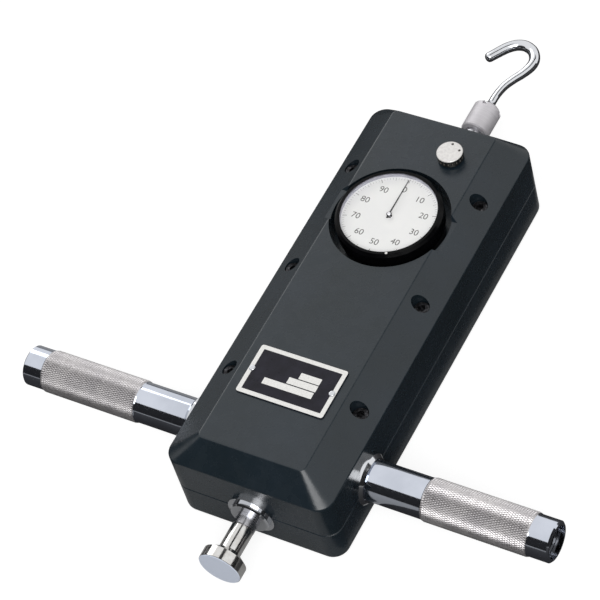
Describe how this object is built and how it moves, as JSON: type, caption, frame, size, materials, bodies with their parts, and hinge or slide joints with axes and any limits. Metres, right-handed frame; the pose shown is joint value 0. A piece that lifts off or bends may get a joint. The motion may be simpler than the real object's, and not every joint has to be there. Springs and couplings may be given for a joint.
{
  "type": "force gauge",
  "caption": "Mechanical push-pull force gauge: cast housing with dial, peak-hold knob, push head, hook and two knurled side handles.",
  "frame": {"origin": "centre of the flat back face of the housing", "axes": "+X right when reading the dial, +Y along the measuring axis towards the hook, +Z out of the dial"},
  "size_m": [0.3034, 0.3631, 0.063],
  "materials": {
    "cast_housing": "satin black paint over an aluminium die casting",
    "screw_steel": "blackened steel",
    "chrome": "polished chrome plate",
    "knurled_chrome": "knurled chrome plate",
    "spindle_steel": "ground steel",
    "nut_steel": "fine matte",
    "spring_steel": "spring wire",
    "bracket_steel": "plated",
    "movement_brass": "turned and lapped",
    "black_plastic": "matte",
    "bezel_black": "gloss",
    "dial_white": "matte white",
    "ring_grey": "satin",
    "clear_crystal": "clear",
    "needle_black": "matte black",
    "knob_metal": "fine matte silver",
    "label_black": "black with white border"
  },
  "bodies": {
    "housing": {"rear_housing": "cast_housing", "front_cover": "cast_housing", "cover_screws": "screw_steel", "push_end_bush": "chrome", "hook_end_bush": "chrome", "main_spring": "spring_steel", "spring_bracket": "bracket_steel", "stop_bracket": "bracket_steel", "bracket_screws": "screw_steel", "handle_studs": "bracket_steel", "dial_case": "black_plastic", "case_screws": "screw_steel", "lower_plate": "movement_brass", "upper_plate": "movement_brass", "movement_posts": "bracket_steel", "plate_spacers": "bracket_steel", "plate_screws": "screw_steel", "knob_bush": "chrome", "knob_nut": "bracket_steel", "pawl_pin": "spindle_steel", "nameplate": "label_black", "nameplate_rivets": "chrome", "left_handle": "knurled_chrome", "right_handle": "knurled_chrome", "left_handle_flange": "chrome", "right_handle_flange": "chrome", "left_handle_plug": "black_plastic", "right_handle_plug": "black_plastic"},
    "spindle_body": {"spindle": "spindle_steel", "push_head": "chrome", "hook_nut": "nut_steel", "hook": "chrome", "spring_collar": "bracket_steel", "collar_pin": "bracket_steel"},
    "idler": {"idler_arbor": "spindle_steel", "rack_pinion": "movement_brass", "transfer_gear": "movement_brass", "ratchet_wheel": "spindle_steel"},
    "pointer": {"centre_arbor": "spindle_steel", "centre_pinion": "movement_brass", "hairspring": "movement_brass", "needle": "needle_black", "needle_cap": "needle_black"},
    "bezel_head": {"bezel": "bezel_black", "dial_face": "dial_white", "dial_ring": "ring_grey", "crystal": "clear_crystal"},
    "knob": {"peak_knob": "knob_metal", "knob_shaft": "spindle_steel"},
    "pawl": {"hold_pawl": "spindle_steel"}
  },
  "joints": [
    {"name": "spindle_slide", "type": "slide", "parent": "housing", "child": "spindle_body", "axis": [0, 1, 0], "range_m": [0, 0.01], "stiffness_N_per_m": 9800, "deforming": ["main_spring"]},
    {"name": "idler_spin", "type": "hinge", "parent": "housing", "child": "idler", "pos_m": [-0.0098, 0.06871, 0.0325], "axis": [0, 0, 1], "range_deg": [-1, 121]},
    {"name": "needle_spin", "type": "hinge", "parent": "housing", "child": "pointer", "pos_m": [0, 0.0468, 0.059], "axis": [0, 0, 1], "range_deg": [-360, 1]},
    {"name": "bezel_turn", "type": "hinge", "parent": "housing", "child": "bezel_head", "pos_m": [0, 0.0468, 0.055], "axis": [0, 0, 1], "continuous": true},
    {"name": "knob_turn", "type": "hinge", "parent": "housing", "child": "knob", "pos_m": [0.0134, 0.0925, 0.06], "axis": [0, 0, 1], "range_deg": [0, 70]},
    {"name": "pawl_swing", "type": "hinge", "parent": "housing", "child": "pawl", "pos_m": [0.006, 0.083, 0.0345], "axis": [0, 0, 1], "range_deg": [-0.5, 5]}
  ],
  "couplings": [
    {"joint": "idler_spin", "follows": "spindle_slide", "rad_per_m": 208.33},
    {"joint": "needle_spin", "follows": "spindle_slide", "rad_per_m": -625},
    {"joint": "pawl_swing", "follows": "knob_turn", "ratio": 0.05}
  ]
}
